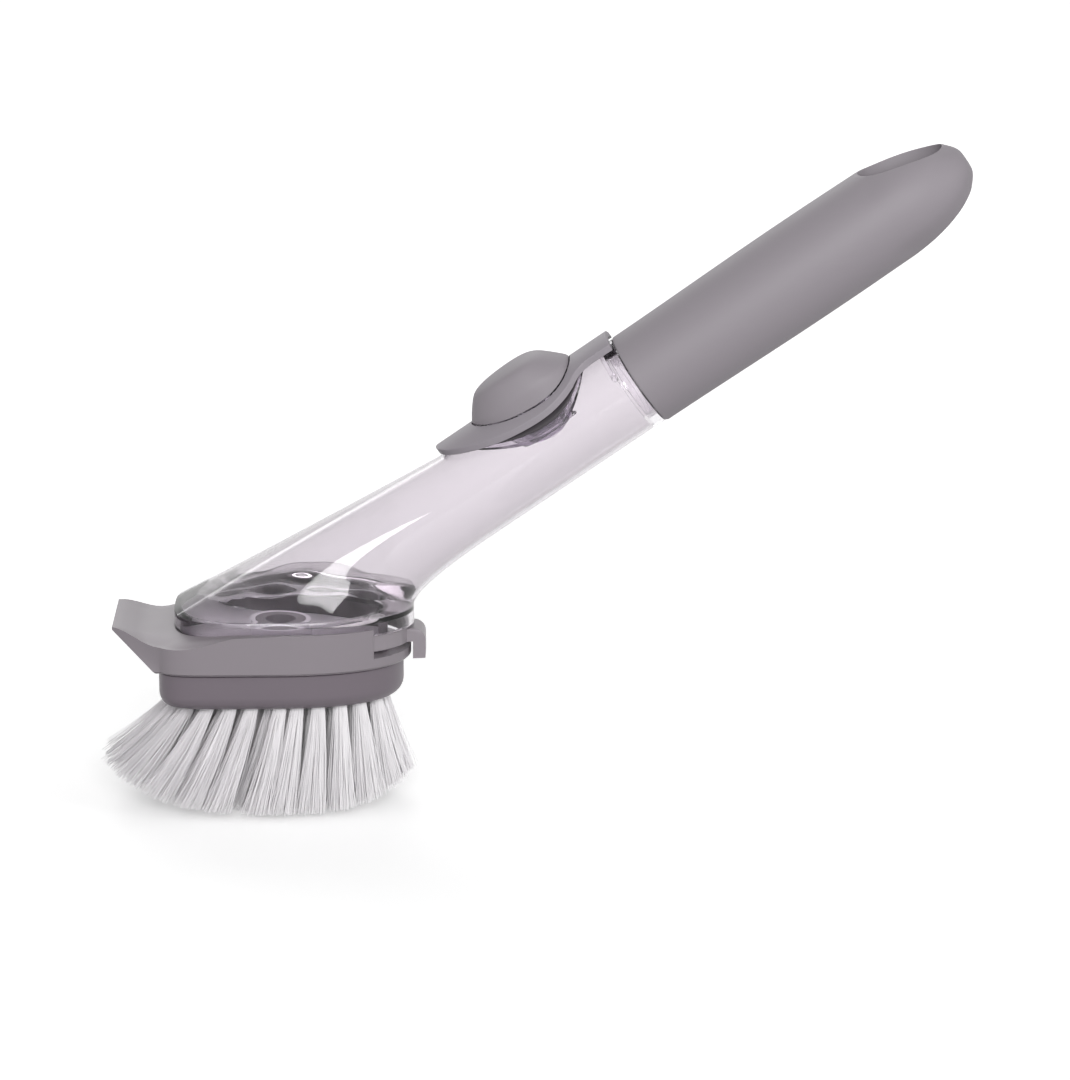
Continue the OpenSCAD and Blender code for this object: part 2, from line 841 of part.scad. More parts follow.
strand_sides = 4;
strand_r = strand_w / sqrt(2);
function strand_ring(x, y, z) =
    [for (i = [0 : strand_sides - 1])
        let (a = 45 + 360 * i / strand_sides)
        [x + strand_r * cos(a), y + strand_r * sin(a), z]];

// One strand from its root inside the carrier to its tip
module strand(tuft, offset) {
    root = tuft + offset;
    tip = [tip_x(tuft[0]) + offset[0] * tuft_spread, tip_y(tuft[1]) + offset[1] * tuft_spread];
    n = strand_sides;
    polyhedron(points = concat(strand_ring(root[0], root[1], base_z + carrier_t / 2),
                               strand_ring(tip[0], tip[1], trim(tip[0], tip[1]))),
               faces = concat(band_faces(1, 0, n), [[0, 3, 2], [0, 2, 1], [4, 5, 6], [4, 6, 7]]));
}

// The strands whose roots lie between two places along X, with their slice of the carrier
module bristle_zone(from, to) {
    color([0.95, 0.94, 0.96]) {
        intersection() {
            foot_slab(-carrier_front, carrier_back, carrier_half, base_z, carrier_t - fit);
            translate([from, -head_w, 0])
                cube([to - from, 2 * head_w, frame_top_z]);
        }
        for (tuft = tufts, offset = strand_offsets())
            if (tuft[0] + offset[0] >= from && tuft[0] + offset[0] < to)
                strand(tuft, offset);
    }
}

// Places along X at which the field is parted
zone_cut = [-14.65, 1, 16];
module bristles_front() {
    bristle_zone(-carrier_front, zone_cut[0]);
}
module bristles_mid_front() {
    bristle_zone(zone_cut[0], zone_cut[1]);
}
module bristles_mid_back() {
    bristle_zone(zone_cut[1], zone_cut[2]);
}
module bristles_back() {
    bristle_zone(zone_cut[2], carrier_back);
}

seal_t = 1.2;
seal_at = grip_at + seal_t / 2 + gap;

// Soft ring round the neck, which leaves with the grip
module neck_seal() {
    color([0.2, 0.19, 0.2])
        on_handle()
            translate([seal_at, 0, 0])
                rotate([0, 90, 0])
                    rotate_extrude($fn = round_fn)
                        translate([neck_r + fit + seal_t / 2, 0])
                            circle(d = seal_t, $fn = 32);
}

core_r = grip_d / 2 - sleeve_t;
core_wall = 4;
core_len = grip_len - slot_wall - slot_len - core_wall;
core_floor = 2;
socket_end = neck_end + gap;
seal_seat_r = neck_r + 2 * fit + seal_t;

// Rigid core of the grip, with the socket that takes the neck
module grip_core() {
    color([0.5, 0.47, 0.5])
        on_handle()
            difference() {
                bar(grip_at, grip_at + core_len, core_r);
                bar(grip_at - past, seal_at + seal_t / 2 + fit, seal_seat_r);
                bar(grip_at, socket_end, neck_r + gap);
                bar(socket_end - past, grip_at + core_len - core_floor, neck_r - clear_wall);
            }
}

end_power = 2.3;
end_steps = 14;
function grip_radius(x) = grip_d / 2 + grip_belly / 2 * pow(sin(180 * x / grip_len), 2);
function end_radius(t) =
    grip_radius(grip_len - grip_end + grip_end * t) * pow(1 - pow(t, end_power), 1 / end_power);

// Soft sleeve with a rounded end and a hanging slot through it
module grip_sleeve() {
    body_steps = 12;
    body = grip_len - grip_end;
    slot_at = grip_at + grip_len - slot_wall - slot_len;
    color([0.58, 0.55, 0.58])
        on_handle()
            difference() {
                translate([grip_at, 0, 0])
                    rotate([0, 90, 0])
                        rotate_extrude($fn = round_fn)
                            polygon(concat(
                                [[0, 0]],
                                [for (k = [0 : body_steps]) let (x = body * k / body_steps) [grip_radius(x), x]],
                                [for (k = [1 : end_steps])
                                    let (t = sin(90 * k / end_steps)) [end_radius(t), body + grip_end * t]]));
                bar(grip_at - past, grip_at + core_len, core_r);
                oval_slab(slot_at, slot_at + slot_len, slot_w / 2, -grip_d, 2 * grip_d);
            }
}

reservoir();
foot_plate();
outlet_valve();
valve_retainer();
head_frame();
pump_seat();
seat_gasket();
cover_plate();
cover_strap();
pump_bellows();
air_valve();
collar_band();
thumb_button();
button_stem();
release_latch();
brush_base();
refill_collar();
outlet_seal();
bristles_front();
bristles_mid_front();
bristles_mid_back();
bristles_back();
neck_seal();
grip_core();
grip_sleeve();
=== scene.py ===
import math
import random

import bmesh
import bpy
from mathutils import Matrix, Vector


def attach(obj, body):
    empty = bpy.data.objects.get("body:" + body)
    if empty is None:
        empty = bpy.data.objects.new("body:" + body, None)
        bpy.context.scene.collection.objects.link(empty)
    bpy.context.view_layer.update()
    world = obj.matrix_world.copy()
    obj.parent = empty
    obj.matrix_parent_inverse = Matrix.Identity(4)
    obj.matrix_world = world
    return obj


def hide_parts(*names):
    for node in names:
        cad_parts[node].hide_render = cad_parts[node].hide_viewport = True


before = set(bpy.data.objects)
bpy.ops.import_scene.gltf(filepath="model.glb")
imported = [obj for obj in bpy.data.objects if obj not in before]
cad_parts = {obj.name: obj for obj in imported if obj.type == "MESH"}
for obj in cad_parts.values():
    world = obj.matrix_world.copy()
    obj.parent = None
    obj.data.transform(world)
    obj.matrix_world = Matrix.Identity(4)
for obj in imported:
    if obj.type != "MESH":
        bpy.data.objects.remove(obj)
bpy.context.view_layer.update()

# Heights and outlines, in millimetres, shared by the pieces below
mm = 0.001
oval = {"sides": 192}
# Fullness of each outline's front and back, where 2 is an ellipse, and how much wider its back is
forms = {"pump": (2.35, 2.35, 0.13), "foot": (3.2, 2.2, -0.04), "head": (7, 2.2, -0.04),
         "circle": (2, 2, 0), "slot": (2.35, 2.35, 0)}
handle = {"tilt": math.radians(34.7), "elbowX": 7.5, "elbowZ": 61.1, "radius": 14.4, "end": 118.7}

toHandle = (Matrix.Translation((handle["elbowX"], 0, handle["elbowZ"]))
            @ Matrix.Rotation(-handle["tilt"], 4, "Y"))


def tint(red, green, blue):
    def linear(value):
        share = value / 255
        return share / 12.92 if share <= 0.04045 else ((share + 0.055) / 1.055) ** 2.4
    return (linear(red), linear(green), linear(blue), 1)


def mix(a, b, share):
    return a + (b - a) * share


def signedPower(value, power):
    return math.copysign(abs(value) ** power, value)


def ovalShape(form, angle):
    power = form[0] if math.cos(angle) < 0 else form[1]
    u = signedPower(math.cos(angle), 2 / power)
    return u, signedPower(math.sin(angle), 2 / power) * (1 + form[2] * u)


def ovalPoint(front, back, half, angle, form="pump"):
    u, v = ovalShape(forms[form], angle)
    return Vector(((front + back) / 2 + (back - front) / 2 * u, half * v, 0))


def ovalRing(front, back, half, z, form="pump", sides=None):
    sides = sides or oval["sides"]
    lift = Vector((0, 0, z))
    return [ovalPoint(front, back, half, math.tau * k / sides, form) + lift for k in range(sides)]


def handleXz(along, up):
    place = toHandle @ Vector((along, 0, up))
    return Vector((place.x, place.z))


# Joins rings of the same count of points into one skin
def loft(mesh, rings, closed=False, caps=(False, False)):
    loop = bmesh.ops.create_circle(mesh, segments=len(rings[0]), radius=1)["verts"]
    for vert, place in zip(loop, rings[0]):
        vert.co = place
    edges = [loop[k - 1].link_edges for k in range(len(loop))]
    edges = list({edge for group in edges for edge in group})
    firstEdges = list(edges)
    for ring in rings[1:]:
        fresh = [g for g in bmesh.ops.extrude_edge_only(mesh, edges=edges)["geom"]
                 if isinstance(g, bmesh.types.BMVert)]
        known = set(fresh)
        above = {}
        for vert in fresh:
            for edge in vert.link_edges:
                other = edge.other_vert(vert)
                if other not in known:
                    above[other] = vert
        loop = [above[vert] for vert in loop]
        for vert, place in zip(loop, ring):
            vert.co = place
        edges = list({edge for vert in loop for edge in vert.link_edges
                      if edge.other_vert(vert) in known})
    if closed:
        bmesh.ops.bridge_loops(mesh, edges=firstEdges + edges)
    if caps[0]:
        bmesh.ops.contextual_create(mesh, geom=firstEdges)
    if caps[1]:
        bmesh.ops.contextual_create(mesh, geom=edges)


def makeObject(name, mesh, sharp=35):
    bmesh.ops.recalc_face_normals(mesh, faces=mesh.faces)
    data = bpy.data.meshes.new(name)
    mesh.to_mesh(data)
    mesh.free()
    for face in data.polygons:
        face.use_smooth = True
    data.set_sharp_from_angle(angle=math.radians(sharp))
    obj = bpy.data.objects.new(name, data)
    bpy.context.scene.collection.objects.link(obj)
    return obj


# Sets a finished mesh, still in millimetres, in the scene as a piece of the wand
def piece(name, mesh, material, body, nodes, local=False, sharp=35):
    if local:
        mesh.transform(toHandle)
    mesh.transform(Matrix.Scale(mm, 4))
    obj = makeObject(name, mesh, sharp)
    obj.data.materials.append(material)
    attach(obj, body)
    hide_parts(*nodes)
    return obj


def soften(obj, width, segments=3, angle=35):
    bevel = obj.modifiers.new("edge", "BEVEL")
    bevel.width = width * mm
    bevel.segments = segments
    bevel.limit_method = "ANGLE"
    bevel.angle_limit = math.radians(angle)
    bevel.profile = 0.5
    bevel.harden_normals = False


def subdivide(obj, levels):
    surface = obj.modifiers.new("surface", "SUBSURF")
    surface.levels = levels
    surface.render_levels = levels


# Cuts, joins or intersects a mesh with a second one, which is then dropped
def carve(mesh, tool, operation="DIFFERENCE"):
    base = makeObject("carveBase", mesh)
    cutter = makeObject("carveTool", tool)
    step = base.modifiers.new("carve", "BOOLEAN")
    step.operation = operation
    step.solver = "MANIFOLD"
    step.object = cutter
    shown = base.evaluated_get(bpy.context.evaluated_depsgraph_get())
    result = bmesh.new()
    result.from_mesh(shown.to_mesh())
    for obj in (base, cutter):
        data = obj.data
        bpy.data.objects.remove(obj)
        bpy.data.meshes.remove(data)
    return result


def block(low, high):
    mesh = bmesh.new()
    size = Vector(high) - Vector(low)
    place = Matrix.Translation((Vector(low) + Vector(high)) / 2) @ Matrix.Diagonal((*size, 1))
    bmesh.ops.create_cube(mesh, size=1, matrix=place)
    return mesh


print("stage: materials")
colours = {
    "softGrey": tint(150, 144, 150),
    "plateGrey": tint(150, 144, 151),
    "frameGrey": tint(143, 136, 142),
    "latchGrey": tint(150, 143, 149),
    # Brush base grey: the frame's grey darkened with painted shade, standing in for the shade under the
    # frame
    "shadedBaseGrey": tint(117, 108, 116),
    "innerGrey": tint(120, 114, 120),
    "bristle": tint(254, 252, 254),
    "silicone": tint(238, 236, 241),
    "clear": tint(233, 229, 233),
    "clearBand": tint(250, 248, 251),
    "soap": tint(252, 250, 252),
    "seat": tint(226, 221, 229),
    "gasket": tint(58, 53, 58),
    "floor": tint(255, 255, 255),
    "floorBounce": tint(150, 148, 150),
}


grainSizes = {"scale": 2500, "detail": 3, "patches": 60, "spread": 0.05, "bump": 0.05, "depth": 0.0002}


# Fine grain of moulded plastic: a height for the bump and a small change of roughness
def grainGroup():
    group = bpy.data.node_groups.new("mouldGrain", "ShaderNodeTree")
    for name, kind in (("Scale", "INPUT"), ("Base Roughness", "INPUT"),
                       ("Height", "OUTPUT"), ("Roughness", "OUTPUT")):
        group.interface.new_socket(name=name, in_out=kind, socket_type="NodeSocketFloat")
    nodes, links = group.nodes, group.links
    given, made = nodes.new("NodeGroupInput"), nodes.new("NodeGroupOutput")
    place = nodes.new("ShaderNodeTexCoord")
    noise = nodes.new("ShaderNodeTexNoise")
    noise.inputs["Detail"].default_value = grainSizes["detail"]
    links.new(place.outputs["Object"], noise.inputs["Vector"])
    links.new(given.outputs["Scale"], noise.inputs["Scale"])
    links.new(noise.outputs["Fac"], made.inputs["Height"])
    wide = nodes.new("ShaderNodeTexNoise")
    wide.inputs["Scale"].default_value = grainSizes["patches"]
    links.new(place.outputs["Object"], wide.inputs["Vector"])
    spread = nodes.new("ShaderNodeMapRange")
    spread.inputs["To Min"].default_value = -grainSizes["spread"]
    spread.inputs["To Max"].default_value = grainSizes["spread"]
    links.new(wide.outputs["Fac"], spread.inputs["Value"])
    total = nodes.new("ShaderNodeMath")
    total.operation = "ADD"
    links.new(spread.outputs["Result"], total.inputs[0])
    links.new(given.outputs["Base Roughness"], total.inputs[1])
    links.new(total.outputs["Value"], made.inputs["Roughness"])
    return group


grain = grainGroup()


def newMaterial(name):
    material = bpy.data.materials.new(name)
    material.use_nodes = True
    return material, material.node_tree.nodes["Principled BSDF"]


def moulded(name, colour, roughness):
    material, shader = newMaterial(name)
    tree = material.node_tree
    shader.inputs["Base Color"].default_value = colour
    skin = tree.nodes.new("ShaderNodeGroup")
    skin.node_tree = grain
    skin.inputs["Scale"].default_value = grainSizes["scale"]
    skin.inputs["Base Roughness"].default_value = roughness
    relief = tree.nodes.new("ShaderNodeBump")
    relief.inputs["Strength"].default_value = grainSizes["bump"]
    relief.inputs["Distance"].default_value = grainSizes["depth"]
    tree.links.new(skin.outputs["Height"], relief.inputs["Height"])
    tree.links.new(relief.outputs["Normal"], shader.inputs["Normal"])
    tree.links.new(skin.outputs["Roughness"], shader.inputs["Roughness"])
    return material


rimTone = {"blend": 0.4, "share": 0.65}


# Clear plastic, a little greyer where it is seen along its surface
def clearPlastic(name, colour, roughness, index):
    material, shader = newMaterial(name)
    tree = material.node_tree
    shader.inputs["Roughness"].default_value = roughness
    shader.inputs["Metallic"].default_value = 0
    shader.inputs["Transmission Weight"].default_value = 1
    shader.inputs["IOR"].default_value = index
    facing = tree.nodes.new("ShaderNodeLayerWeight")
    facing.inputs["Blend"].default_value = rimTone["blend"]
    tone = tree.nodes.new("ShaderNodeMix")
    tone.data_type = "RGBA"
    tone.inputs["A"].default_value = colour
    tone.inputs["B"].default_value = tuple(rimTone["share"] * part for part in colour[:3]) + (1,)
    tree.links.new(facing.outputs["Facing"], tone.inputs["Factor"])
    tree.links.new(tone.outputs["Result"], shader.inputs["Base Color"])
    return material


softGrey = moulded("softGrey", colours["softGrey"], 0.55)
plateGrey = moulded("plateGrey", colours["plateGrey"], 0.45)
frameGrey = moulded("frameGrey", colours["frameGrey"], 0.42)
latchGrey = moulded("latchGrey", colours["latchGrey"], 0.4)
# Brush base and refill collar: darker grey that carries painted shade from under the frame
shadedBaseGrey = moulded("shadedBaseGrey", colours["shadedBaseGrey"], 0.42)
innerGrey = moulded("innerGrey", colours["innerGrey"], 0.5)
silicone = moulded("whiteSilicone", colours["silicone"], 0.4)
whitePlastic = moulded("whitePlastic", colours["silicone"], 0.3)
gasketDark = moulded("gasketDark", colours["gasket"], 0.55)
clear = clearPlastic("clearPlastic", colours["clear"], 0.03, 1.38)
clearBand = clearPlastic("clearBand", colours["clearBand"], 0.05, 1.38)
soapClear = clearPlastic("soapClear", colours["soap"], 0.0, 1.14)
seatTint = clearPlastic("seatTint", colours["seat"], 0.1, 1.49)


def bristleMaterial():
    material, shader = newMaterial("bristleWhite")
    shader.inputs["Base Color"].default_value = colours["bristle"]
    shader.inputs["Roughness"].default_value = 0.35
    return material


bristleWhite = bristleMaterial()

print("stage: reservoir")
shell = {"footFront": -31.8, "footBack": 40.2, "footHalf": 24.4, "ledge": 56.1, "foot": 61.1, "wall": 1.1,
         "skirt": 1.5, "chamberFront": -30, "chamberBack": 30.9, "chamberHalf": 22.4, "plate": 49.4,
         "blend": 58, "neckRadius": 11.4, "neckEnd": 130.7, "steps": 36,
         "straight": (70, 82, 94, 106), "footEdge": 0.8, "roomEdge": 0.3,
         "wellFront": 74.75, "wellBack": 106.85, "wellHalf": 9.55, "wellHeights": (0, 20)}


def blendEnds(share):
    front = Vector((shell["footFront"], shell["foot"]))
    back = Vector((shell["footBack"], shell["foot"]))
    top = handleXz(shell["blend"], handle["radius"])
    bottom = handleXz(shell["blend"], -handle["radius"])
    rise = (shell["footBack"] - handle["elbowX"]) * math.sin(handle["tilt"]) - handle["radius"]
    heel = Vector((shell["footBack"], shell["foot"] + rise / math.cos(handle["tilt"])))
    topNow = mix(front, top, share)
    bottomNow = mix(mix(back, heel, share), mix(heel, bottom, share), share)
    topWay = (top - front).normalized()
    bottomWay = mix(heel - back, bottom - heel, share).normalized()
    return topNow, bottomNow, topWay, bottomWay


def blendRing(share, inset):
    top, bottom, topWay, bottomWay = blendEnds(share)
    half = mix(handle["radius"], shell["footHalf"], (1 - share) ** 2) - inset
    across = (bottom - top).normalized()
    top = top + across * inset / abs(across.cross(topWay))
    bottom = bottom - across * inset / abs(across.cross(bottomWay))
    form = [mix(a, b, share) for a, b in zip(forms["foot"], forms["circle"])]
    ring = []
    for k in range(oval["sides"]):
        u, v = ovalShape(form, math.tau * k / oval["sides"])
        spot = (top + bottom) / 2 + (bottom - top) / 2 * u
        ring.append(Vector((spot.x, half * v, spot.y)))
    return ring


# A ring square to the handle, whose points match those of the blend's rings
def tubeRing(along, radius):
    ring = []
    for k in range(oval["sides"]):
        angle = math.tau * k / oval["sides"]
        ring.append(toHandle @ Vector((along, radius * math.sin(angle), -radius * math.cos(angle))))
    return ring


def shellRings():
    s, steps = shell, shell["steps"]
    outer = (s["footFront"], s["footBack"], s["footHalf"])
    outside = [ovalRing(*outer, z, "foot") for z in (s["ledge"], s["foot"] - s["footEdge"])]
    outside += [blendRing(k / steps, 0) for k in range(steps + 1)]
    outside += [tubeRing(at, handle["radius"]) for at in (*s["straight"], handle["end"])]
    outside += [tubeRing(at, s["neckRadius"]) for at in (handle["end"], s["neckEnd"])]
    wall = s["wall"]
    shoulder = handle["end"] - wall
    inside = [tubeRing(at, s["neckRadius"] - wall) for at in (s["neckEnd"], shoulder)]
    inside += [tubeRing(at, handle["radius"] - wall) for at in (shoulder, *reversed(s["straight"]))]
    inside += [blendRing(k / steps, wall) for k in range(steps, -1, -1)]
    chamber = (s["chamberFront"], s["chamberBack"], s["chamberHalf"])
    inner = (s["chamberFront"] + wall, s["chamberBack"] - wall, s["chamberHalf"] - wall)
    under = s["foot"] - s["skirt"]
    foot = [ovalRing(*inner, s["foot"] - s["roomEdge"], "foot"), ovalRing(*inner, s["plate"], "foot"),
            ovalRing(*chamber, s["plate"], "foot"), ovalRing(*chamber, under, "foot")]
    skirt = (s["footFront"] + s["skirt"], s["footBack"] - s["skirt"], s["footHalf"] - s["skirt"])
    foot += [ovalRing(*skirt, under, "foot"), ovalRing(*skirt, s["ledge"], "foot")]
    return outside + inside + foot


def wellTool():
    s = shell
    rings = [ovalRing(s["wellFront"], s["wellBack"], s["wellHalf"], up) for up in s["wellHeights"]]
    mesh = bmesh.new()
    loft(mesh, rings, caps=(True, True))
    mesh.transform(toHandle)
    return mesh


def makeReservoir():
    mesh = bmesh.new()
    loft(mesh, shellRings(), closed=True)
    mesh = carve(mesh, wellTool())
    piece("clearReservoir", mesh, clear, "wand", ["reservoir"], sharp=40)


makeReservoir()

print("stage: soap")
# Waves are share of the height, turns per millimetre along x and y, and start
soap = {"level": 67.0, "wave": 2.2, "gap": -0.1, "low": 51.3, "edge": 0.5, "cells": 150,
        "span": 45, "middle": (5, 0, 40),
        "swell": ((1, 0.085, 0, 0.9), (0.3, 0.17, -0.13, 2)),
        "ripple": ((0.22, 0.06, 0.5, 0), (0.12, 0.4, -0.3, 0))}


def soapHeight(x, y):
    s = soap
    swell, ripple = [sum(share * math.sin(x * along + y * across + start)
                         for share, along, across, start in s[kind]) for kind in ("swell", "ripple")]
    return s["level"] + s["wave"] * (swell + ripple)


def makeSoap():
    s = soap
    space = bmesh.new()
    inset = shell["wall"] + s["gap"]
    outline = (shell["chamberFront"] + inset, shell["chamberBack"] - inset, shell["chamberHalf"] - inset)
    rings = [ovalRing(*outline, z, "foot") for z in (s["low"], shell["foot"] - s["edge"])]
    steps = shell["steps"]
    rings += [blendRing(k / steps, inset) for k in range(steps + 1)]
    loft(space, rings, caps=(True, True))
    water = bmesh.new()
    bmesh.ops.create_grid(water, x_segments=s["cells"], y_segments=s["cells"], size=s["span"],
                          matrix=Matrix.Translation(s["middle"]))
    top = bmesh.ops.extrude_face_region(water, geom=list(water.faces))["geom"]
    for vert in [g for g in top if isinstance(g, bmesh.types.BMVert)]:
        vert.co.z = soapHeight(vert.co.x, vert.co.y)
    mesh = carve(space, water, "INTERSECT")
    piece("soapFill", mesh, soapClear, "wand", [], sharp=50)


makeSoap()

print("stage: head frame")
frameForm = {"low": 45.7, "lip": 46.4, "edge": 57.2, "top": 58.1, "front": -37.3, "back": 39.2, "half": 26.5,
             "noseX": -49.8, "noseHalf": 15.5, "footSink": 1.8, "edgeSink": 4.2,
             "sinkFront": (-50, -36), "sinkBack": (-31, -8), "window": 28.4, "rim": 49.1,
             "draft": 0.7, "frontHalf": 23.4, "noseSpan": 18, "sideSpan": 8, "soft": 0.35,
             "topInset": 0.4, "topNarrow": 0.2, "sideShares": (0.25, 0.5, 0.75),
             "topShares": (0, 0.15, 0.35, 0.5, 0.65, 0.85, 0.97, 1),
             "mouth": (-31.9, 40.3, 24.5), "seat": (-30.1, 38.2, 22.5), "socket": (-27.7, 36, 20.3),
             "windowEnd": (60, 40, 70)}


# The frame's outline at one height: the oval, with its front drawn out through a corner on each side
def noseRing(z, cornerX, cornerY, inset=0):
    f = frameForm
    ring = ovalRing(f["front"] + inset, f["back"] - inset, f["half"] - inset, z, "head")
    ahead = [k for k in range(len(ring)) if abs(k - len(ring) / 2) <= f["noseSpan"]]
    start = ring[ahead[0] - 1]
    path = [start, Vector((cornerX, cornerY, z)), Vector((cornerX, -cornerY, z)),
            Vector((start.x, -start.y, z))]
    side = f["sideSpan"]
    middle = len(ahead) - 2 * side
    out = [mix(path[0], path[1], k / side) for k in range(1, side + 1)]
    out += [mix(path[1], path[2], k / (middle + 1)) for k in range(1, middle + 1)]
    out += [mix(path[2], path[3], k / side) for k in range(side)]
    for k, p in zip(ahead, out):
        ring[k] = p
    return ring


# How far the top sinks behind the nose, more at the outer edge than round the foot
def sunk(place, share):
    f = frameForm
    down, up = f["sinkFront"], f["sinkBack"]
    fall = min(max((place.x - down[0]) / (down[1] - down[0]), 0), 1)
    climb = min(max((place.x - up[0]) / (up[1] - up[0]), 0), 1)
    depth = fall * fall * (3 - 2 * fall) * (1 - climb * climb * (3 - 2 * climb))
    return place - Vector((0, 0, mix(f["footSink"], f["edgeSink"], share) * depth))


def makeFrame():
    f = frameForm
    draft = f["draft"]
    low = noseRing(f["low"], f["front"] + draft, f["frontHalf"] - draft, draft)
    lip = noseRing(f["lip"], f["front"], f["frontHalf"])
    edge, top = [[sunk(place, 1) for place in noseRing(z, f["noseX"], f["noseHalf"])]
                 for z in (f["edge"], f["top"])]
    rings = [low, lip]
    rings += [[mix(a, b, share) for a, b in zip(lip, edge)] for share in f["sideShares"]]
    rings += [edge, top]
    outer = noseRing(f["top"], f["noseX"] + f["topInset"], f["noseHalf"] - f["topNarrow"], f["topInset"])
    foot = ovalRing(*f["mouth"], f["top"], "foot")
    for share in f["topShares"]:
        rings.append([sunk(mix(a, b, share), 1 - share) for a, b in zip(outer, foot)])
    rings += [ovalRing(*f[outline], z, "foot") for outline, z in (
        ("mouth", shell["ledge"]), ("seat", shell["ledge"]), ("seat", f["rim"]),
        ("socket", f["rim"]), ("socket", f["low"]))]
    mesh = bmesh.new()
    loft(mesh, rings, closed=True)
    far = f["windowEnd"]
    mesh = carve(mesh, block((f["window"], -far[1], f["rim"]), far))
    obj = piece("scraperFrame", mesh, frameGrey, "wand", ["head_frame"])
    soften(obj, f["soft"])


makeFrame()

print("stage: brush refill")
base = {"front": -36.15, "back": 36.9, "half": 24.2, "low": 34, "top": 45.4, "round": 4.5, "steps": 10,
        "edge": 0.5, "hole": 3.5}


def makeBase():
    b = base
    rings = []
    for k in range(b["steps"] + 1):
        angle = math.pi / 2 * k / b["steps"]
        inset = b["round"] * (1 - math.sin(angle))
        z = b["low"] + b["round"] * (1 - math.cos(angle))
        rings.append(ovalRing(b["front"] + inset, b["back"] - inset, b["half"] - inset, z, "head"))
    for inset, z in ((0, b["top"] - b["edge"]), (b["edge"], b["top"])):
        rings.append(ovalRing(b["front"] + inset, b["back"] - inset, b["half"] - inset, z, "head"))
    angles = [math.tau * k / oval["sides"] for k in range(oval["sides"])]
    hole = [Vector((b["hole"] * math.cos(a), b["hole"] * math.sin(a), 0)) for a in angles]
    rings += [[p + Vector((0, 0, z)) for p in hole] for z in (b["top"], b["low"])]
    mesh = bmesh.new()
    loft(mesh, rings, closed=True)
    piece("refillBase", mesh, shadedBaseGrey, "refill", ["brush_base"])


makeBase()

bristles = {"strands": 100, "tuftRadius": 1.85, "thickness": 0.34, "taper": 0.35, "spread": 2.55,
            "segments": 4, "sides": 3, "ragged": 0.7, "tufts": (24, 17, 9), "ovalSides": 480,
            "front": 31.65, "back": 32.4, "half": 19.7, "pitch": 7.3, "edge": 2.4,
            "flareX": 1.44, "flareY": 1.3, "lean": 7.6, "trimFront": 14, "trimBack": 9.5,
            "trimSide": 2.6, "trimFlat": 0.5, "tipStray": 0.45, "bowStray": 0.25, "bow": -0.05,
            "rootDepth": 0.6, "carrierDepth": 0.02, "carrierHeight": 1.9, "carrierEdge": 0.3, "seed": 4}


def trimHeight(x, y):
    b = bristles
    tipFront, tipBack = b["front"] * b["flareX"] + b["lean"], b["back"] * b["flareX"] - b["lean"]
    along = b["trimFront"] * (-x / tipFront) ** 3 if x < 0 else b["trimBack"] * (x / tipBack) ** 3
    return max(0, along + b["trimSide"] * (y / (b["half"] * b["flareY"])) ** 2 - b["trimFlat"])


# Tufts stand on ovals inside the carrier's outline, evenly along each oval
def tuftPlaces():
    b = bristles
    places = []
    for row, count in enumerate(b["tufts"]):
        inset = b["edge"] + row * b["pitch"]
        ring = ovalRing(inset - b["front"], b["back"] - inset, b["half"] - inset, 0, "foot", b["ovalSides"])
        lengths = [(ring[k] - ring[k - 1]).length for k in range(len(ring))]
        step, gone, wanted = sum(lengths) / count, 0, 0.5 * (row % 2)
        for place, length in zip(ring, lengths):
            gone += length
            if gone / step >= wanted:
                places.append(place)
                wanted += 1
    return places


# Adds a small mesh to a larger one
def gather(mesh, part):
    carried = bpy.data.meshes.new("part")
    part.to_mesh(carried)
    part.free()
    mesh.from_mesh(carried)
    bpy.data.meshes.remove(carried)


def addStrand(mesh, root, tip, bow):
    b = bristles
    rings = []
    for k in range(b["segments"] + 1):
        share = k / b["segments"]
        centre = mix(root, tip, share) + bow * math.sin(math.pi * share)
        width = b["thickness"] / 2 * (1 - b["taper"] * share)
        angles = [math.tau * j / b["sides"] for j in range(b["sides"])]
        rings.append([centre + Vector((width * math.cos(a), width * math.sin(a), 0)) for a in angles])
    loft(mesh, rings, caps=(False, True))


def makeBristles():
    b = bristles
    dice = random.Random(b["seed"])
    mesh = bmesh.new()
    carrier = bmesh.new()
    low, high, edge = base["low"] - b["carrierDepth"], base["low"] + b["carrierHeight"], b["carrierEdge"]
    rings = [ovalRing(inset - b["front"], b["back"] - inset, b["half"] - inset, z, "foot")
             for inset, z in ((0, high), (0, low + edge), (edge, low))]
    loft(carrier, rings, caps=(True, True))
    gather(mesh, carrier)
    golden = math.pi * (3 - math.sqrt(5))
    for tuft in tuftPlaces():
        bunch = bmesh.new()
        for k in range(b["strands"]):
            reach = b["tuftRadius"] * math.sqrt((k + 0.5) / b["strands"])
            offset = Vector((reach * math.cos(k * golden), reach * math.sin(k * golden), 0))
            root = tuft + offset + Vector((0, 0, base["low"] + b["rootDepth"]))
            stray = Vector((dice.gauss(0, b["tipStray"]), dice.gauss(0, b["tipStray"]), 0))
            spread = offset * b["spread"] + stray
            x = tuft.x * b["flareX"] - b["lean"] + spread.x
            y = tuft.y * b["flareY"] + spread.y
            tip = Vector((x, y, trimHeight(x, y) + dice.random() * b["ragged"]))
            bend = Vector((dice.gauss(0, b["bowStray"]), dice.gauss(0, b["bowStray"]), 0))
            addStrand(bunch, root, tip, bend + Vector((x - root.x, y - root.y, 0)) * b["bow"])
        gather(mesh, bunch)
    nodes = ["bristles_front", "bristles_mid_front", "bristles_mid_back", "bristles_back"]
    piece("bristleField", mesh, bristleWhite, "refill", nodes, sharp=60)


makeBristles()

